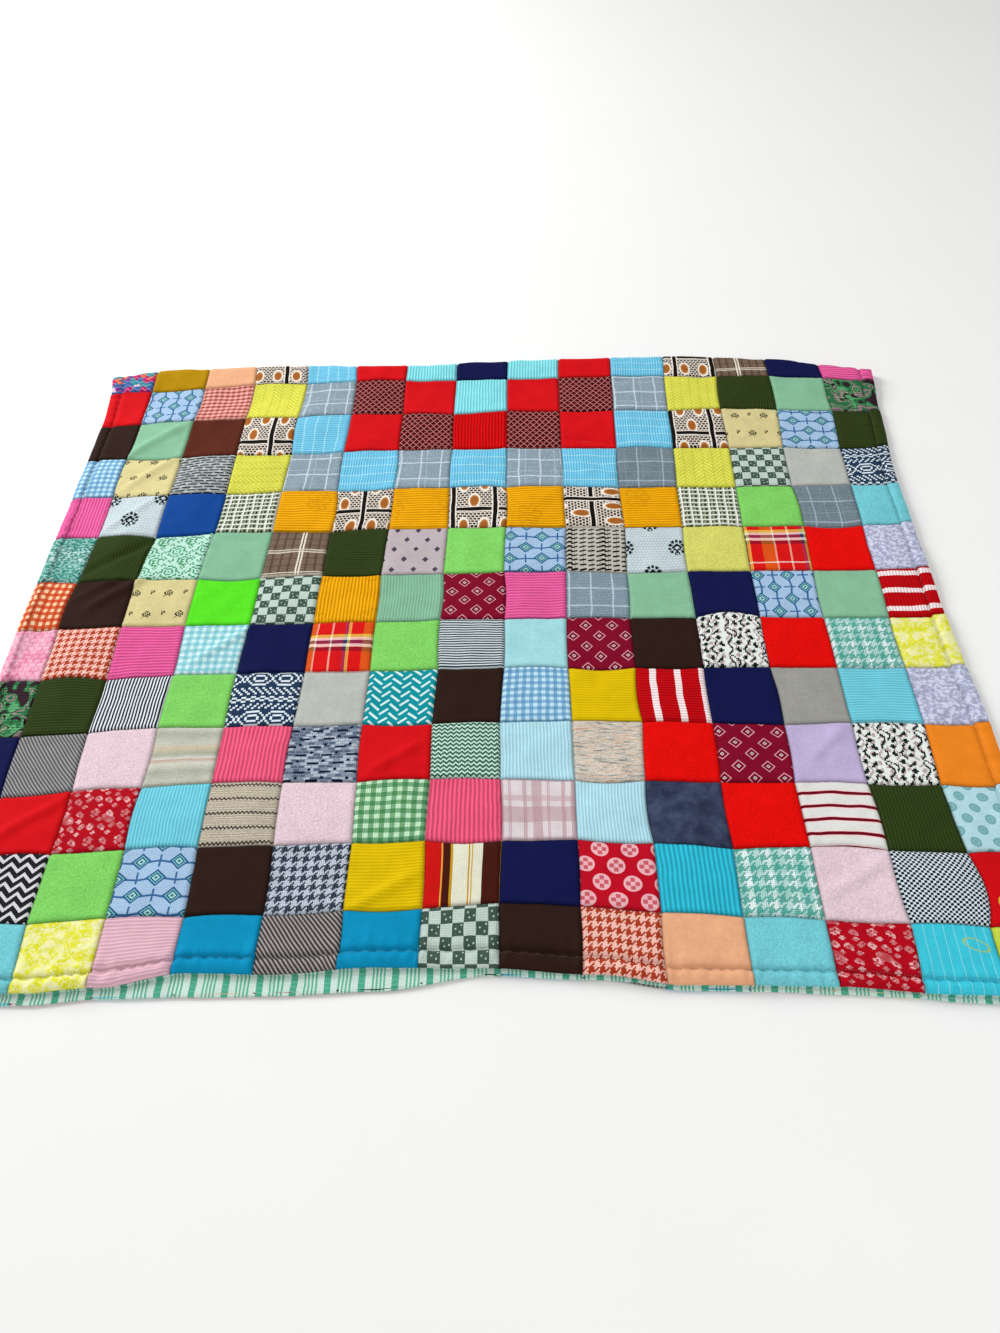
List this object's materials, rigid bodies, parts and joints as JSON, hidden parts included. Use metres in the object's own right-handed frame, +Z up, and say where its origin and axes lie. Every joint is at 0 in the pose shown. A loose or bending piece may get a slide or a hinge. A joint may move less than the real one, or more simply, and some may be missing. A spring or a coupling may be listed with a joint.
{
  "type": "patchwork quilt folded in half",
  "caption": "Square-pieced patchwork quilt with a striped backing and a topstitched hem, folded once across its middle and lying flat with the patchwork outside.",
  "frame": {"origin": "centre of the bounding box, on the surface that the folded quilt lies on", "axes": "+X across the fifteen columns, +Y from the open edge to the fold, +Z up through the layers"},
  "size_m": [1.3258, 1.1488, 0.0193],
  "materials": {
    "patchwork": "matte double-knit squares in many colours and prints",
    "backing": "matte white and sea-green striped puckered cotton"
  },
  "bodies": {
    "root": {"patchwork_top": "patchwork", "backing": "backing"}
  },
  "joints": []
}
